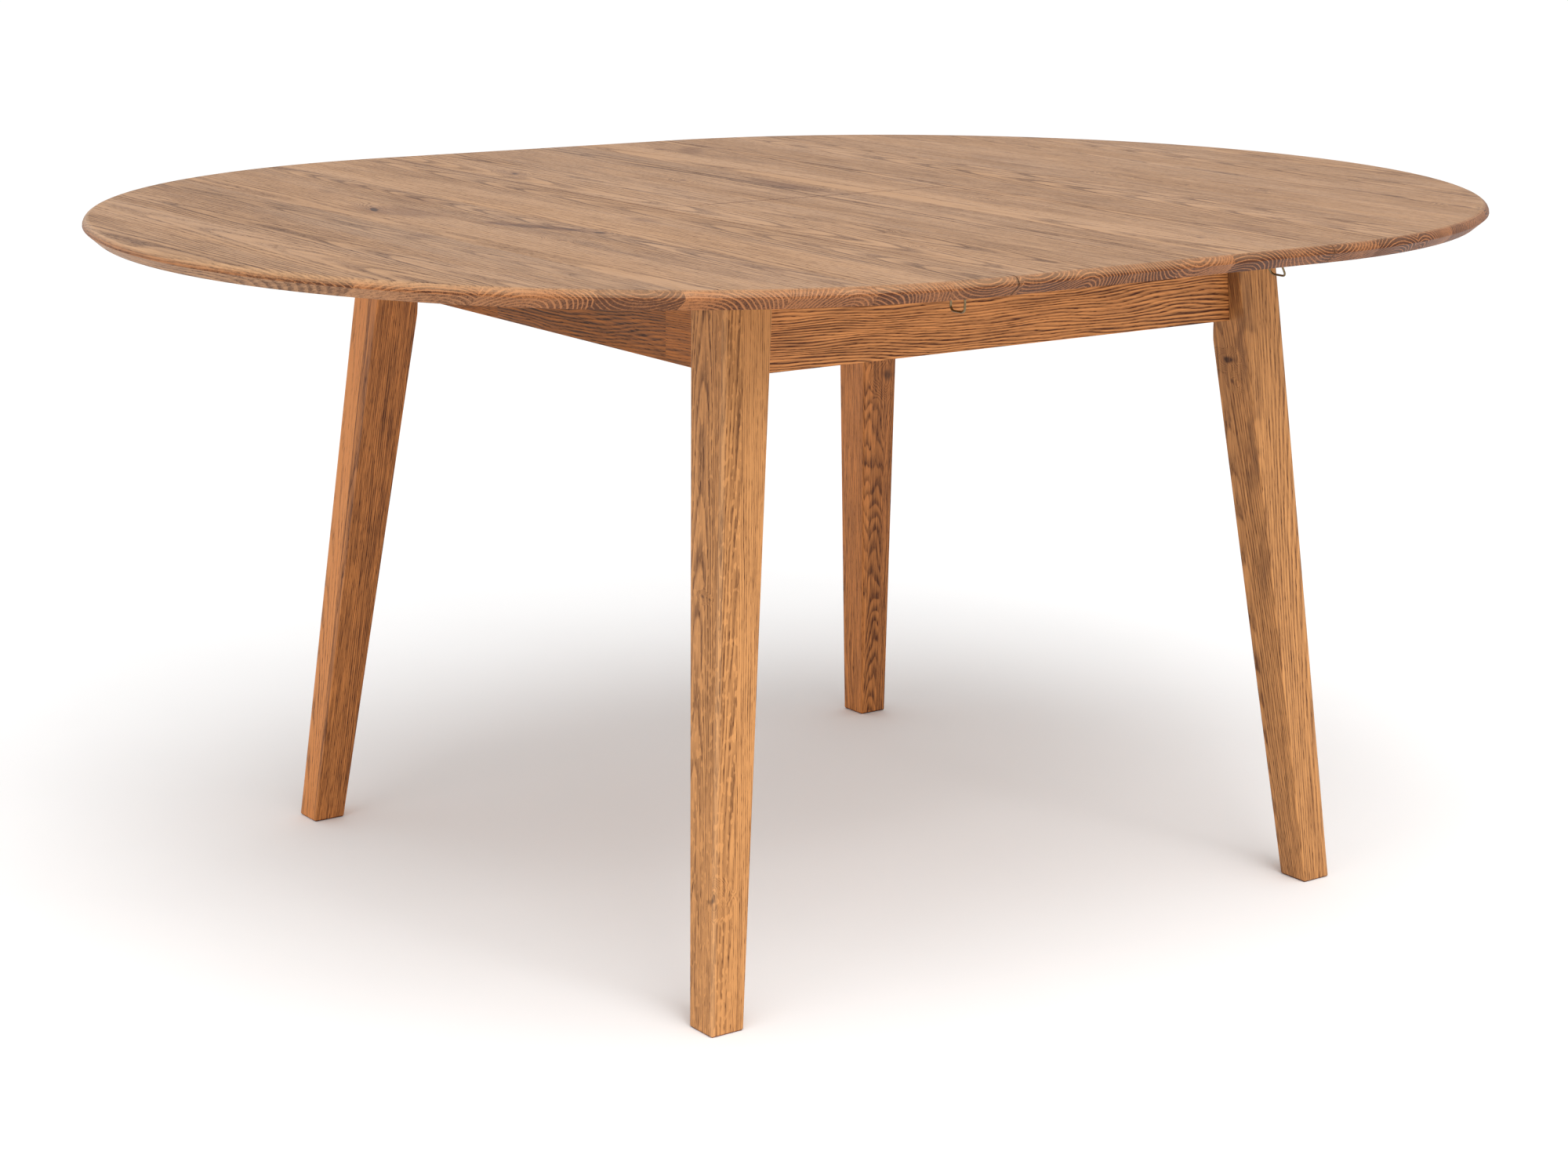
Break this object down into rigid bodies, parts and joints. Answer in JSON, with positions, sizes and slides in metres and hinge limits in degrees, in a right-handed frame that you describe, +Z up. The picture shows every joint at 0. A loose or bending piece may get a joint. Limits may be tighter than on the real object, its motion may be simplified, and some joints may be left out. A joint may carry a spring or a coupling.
{
  "type": "extending dining table",
  "caption": "Round wooden extending dining table on splayed tapered legs, shown open: two half-round tops with a folding leaf between them, bail catches under the seams.",
  "frame": {"origin": "on the floor, at the centre of the four-legged frame", "axes": "+X along the way the top halves slide, +Y along the seams between top and leaf, +Z up"},
  "size_m": [1.6126, 1.2, 0.755],
  "materials": {
    "oak_top": "matt oiled wild oak",
    "oak_frame": "matt oiled oak",
    "zinc_steel": "bright zinc-plated",
    "wire": "plated wire",
    "brass": "satin",
    "glide": "felt"
  },
  "bodies": {
    "frame": {"leg_near_left": "oak_frame", "leg_near_right": "oak_frame", "leg_far_left": "oak_frame", "leg_far_right": "oak_frame", "apron_near": "oak_frame", "apron_far": "oak_frame", "apron_left": "oak_frame", "apron_right": "oak_frame", "corner_block_near_left": "oak_frame", "corner_block_near_right": "oak_frame", "corner_block_far_left": "oak_frame", "corner_block_far_right": "oak_frame", "leg_bolts": "zinc_steel", "leg_washers": "zinc_steel", "leg_nuts": "zinc_steel", "corner_block_screws": "zinc_steel", "bearer_near": "oak_frame", "bearer_far": "oak_frame", "leaf_rails": "oak_frame", "glide_strips": "glide", "channel_left_near": "zinc_steel", "channel_left_far": "zinc_steel", "channel_right_near": "zinc_steel", "channel_right_far": "zinc_steel", "channel_screws": "zinc_steel", "leaf_near": "oak_top", "leaf_batten_near": "oak_top", "wood_screws_leaf_near": "zinc_steel", "bail_plate_leaf_near": "brass", "keeper_leaf_near": "brass", "catch_screws_leaf_near": "brass", "hinge_cups_near": "brass"},
    "top_left": {"top_half_left": "oak_top", "batten_left_near": "oak_frame", "batten_left_far": "oak_frame", "slide_bar_left_near": "zinc_steel", "slide_bar_left_far": "zinc_steel", "wood_screws_left": "zinc_steel", "bail_plates_left": "brass", "catch_screws_left": "brass"},
    "top_right": {"top_half_right": "oak_top", "batten_right_near": "oak_frame", "batten_right_far": "oak_frame", "slide_bar_right_near": "zinc_steel", "slide_bar_right_far": "zinc_steel", "wood_screws_right": "zinc_steel", "keepers_right": "brass", "catch_screws_right": "brass"},
    "leaf_far": {"leaf_far": "oak_top", "leaf_batten_far": "oak_top", "wood_screws_leaf_far": "zinc_steel", "bail_plate_leaf_far": "brass", "keeper_leaf_far": "brass", "catch_screws_leaf_far": "brass", "hinge_cups_far": "brass"},
    "bail_left_near": {"bail_left_near": "wire"},
    "bail_left_far": {"bail_left_far": "wire"},
    "bail_right_near": {"bail_right_near": "wire"},
    "bail_right_far": {"bail_right_far": "wire"}
  },
  "joints": [
    {"name": "left_half_slide", "type": "slide", "parent": "frame", "child": "top_left", "axis": [-1, 0, 0], "range_m": [0, 0.04]},
    {"name": "right_half_slide", "type": "slide", "parent": "frame", "child": "top_right", "axis": [1, 0, 0], "range_m": [0, 0.04]},
    {"name": "leaf_fold", "type": "hinge", "parent": "frame", "child": "leaf_far", "pos_m": [0, 0, 0.755], "axis": [1, 0, 0], "range_deg": [0, 180]},
    {"name": "bail_left_near_swing", "type": "hinge", "parent": "top_left", "child": "bail_left_near", "pos_m": [-0.2145, -0.522, 0.7329], "axis": [0, -1, 0], "range_deg": [-60, 82]},
    {"name": "bail_left_far_swing", "type": "hinge", "parent": "top_left", "child": "bail_left_far", "pos_m": [-0.2145, 0.522, 0.7329], "axis": [0, -1, 0], "range_deg": [-60, 82]},
    {"name": "bail_right_near_swing", "type": "hinge", "parent": "frame", "child": "bail_right_near", "pos_m": [0.1975, -0.522, 0.7329], "axis": [0, -1, 0], "range_deg": [-90, 52]},
    {"name": "bail_right_far_swing", "type": "hinge", "parent": "leaf_far", "child": "bail_right_far", "pos_m": [0.1975, 0.522, 0.7329], "axis": [0, -1, 0], "range_deg": [-60, 82]}
  ]
}
